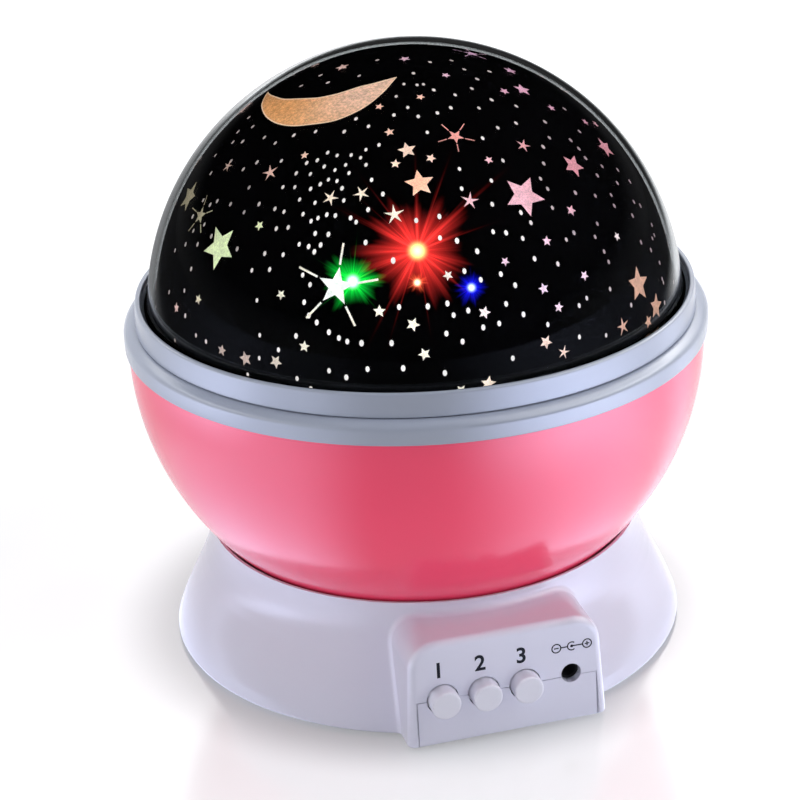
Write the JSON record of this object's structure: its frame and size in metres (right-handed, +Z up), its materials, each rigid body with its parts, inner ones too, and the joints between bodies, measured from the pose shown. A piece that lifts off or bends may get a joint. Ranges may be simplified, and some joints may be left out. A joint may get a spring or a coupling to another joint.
{
  "type": "star night light projector",
  "caption": "Round night light: a star dome on a turning bowl, over a conical base with push buttons and a power inlet.",
  "frame": {"origin": "centre of the base, on the surface the light stands on", "axes": "+Z up along the axis that the bowl turns on, -Y out of the control panel"},
  "size_m": [0.124, 0.124, 0.1293],
  "materials": {
    "white_abs": "glossy moulded ABS",
    "cell_jacket": "plain printed jacket",
    "contact_metal": "nickel plated",
    "rubber": "soft pale rubber",
    "screw_steel": "zinc plated",
    "circuit_board": "green solder mask",
    "dark_plastic": "black moulded plastic",
    "brass": "bright",
    "pom": "natural POM",
    "motor_steel": "drawn steel can",
    "white_board": "white solder mask",
    "lamp_clear": "clear epoxy",
    "lamp_green": "tinted epoxy",
    "lamp_blue": "tinted epoxy",
    "lamp_red": "tinted epoxy",
    "wire": "PVC insulation",
    "pink_abs": "glossy moulded ABS",
    "clear_ps": "clear moulded polystyrene",
    "star_film": "black printed film with clear stars"
  },
  "bodies": {
    "base": {"base_shell": "white_abs", "base_plate": "white_abs", "battery_cells": "cell_jacket", "battery_contacts": "contact_metal", "rubber_feet": "rubber", "case_screws": "screw_steel", "switch_board": "circuit_board", "push_switches": "dark_plastic", "dc_jack": "dark_plastic", "dc_pin": "brass", "gearbox": "pom", "motor_can": "motor_steel", "motor_screws": "screw_steel", "glide_ring": "pom", "led_post": "white_abs", "post_screws": "screw_steel", "led_board": "white_board", "led_white": "lamp_clear", "led_green": "lamp_green", "led_blue": "lamp_blue", "led_red": "lamp_red", "led_lead": "wire", "motor_lead": "wire", "battery_lead": "wire"},
    "rotor": {"bowl": "pink_abs", "ring_gear": "pom", "reflector_tray": "white_abs", "tray_screws": "screw_steel"},
    "pinion": {"drive_pinion": "pom", "motor_shaft": "motor_steel"},
    "dome_cover": {"clear_dome": "clear_ps", "star_film": "star_film", "dome_ring": "white_abs"},
    "door": {"battery_door": "white_abs", "door_screw": "screw_steel"},
    "button_1": {"button_1": "white_abs", "plunger_1": "dark_plastic"},
    "button_2": {"button_2": "white_abs", "plunger_2": "dark_plastic"},
    "button_3": {"button_3": "white_abs", "plunger_3": "dark_plastic"}
  },
  "joints": [
    {"name": "bowl_turn", "type": "hinge", "parent": "base", "child": "rotor", "pos_m": [0, 0, 0.021], "axis": [0, 0, 1], "continuous": true},
    {"name": "pinion_turn", "type": "hinge", "parent": "base", "child": "pinion", "pos_m": [0, 0.027, 0.021], "axis": [0, 0, 1], "continuous": true},
    {"name": "dome_lift", "type": "slide", "parent": "rotor", "child": "dome_cover", "axis": [0, 0, 1], "range_m": [0, 0.07]},
    {"name": "door_drop", "type": "slide", "parent": "base", "child": "door", "axis": [0, 0, -1], "range_m": [0, 0.02]},
    {"name": "button_1_press", "type": "slide", "parent": "base", "child": "button_1", "axis": [0, 1, 0], "range_m": [0, 0.0016], "stiffness_N_per_m": 600, "springref_m": -0.001},
    {"name": "button_2_press", "type": "slide", "parent": "base", "child": "button_2", "axis": [0, 1, 0], "range_m": [0, 0.0016], "stiffness_N_per_m": 600, "springref_m": -0.001},
    {"name": "button_3_press", "type": "slide", "parent": "base", "child": "button_3", "axis": [0, 1, 0], "range_m": [0, 0.0016], "stiffness_N_per_m": 600, "springref_m": -0.001}
  ],
  "couplings": [
    {"joint": "pinion_turn", "follows": "bowl_turn", "ratio": 5.5}
  ]
}
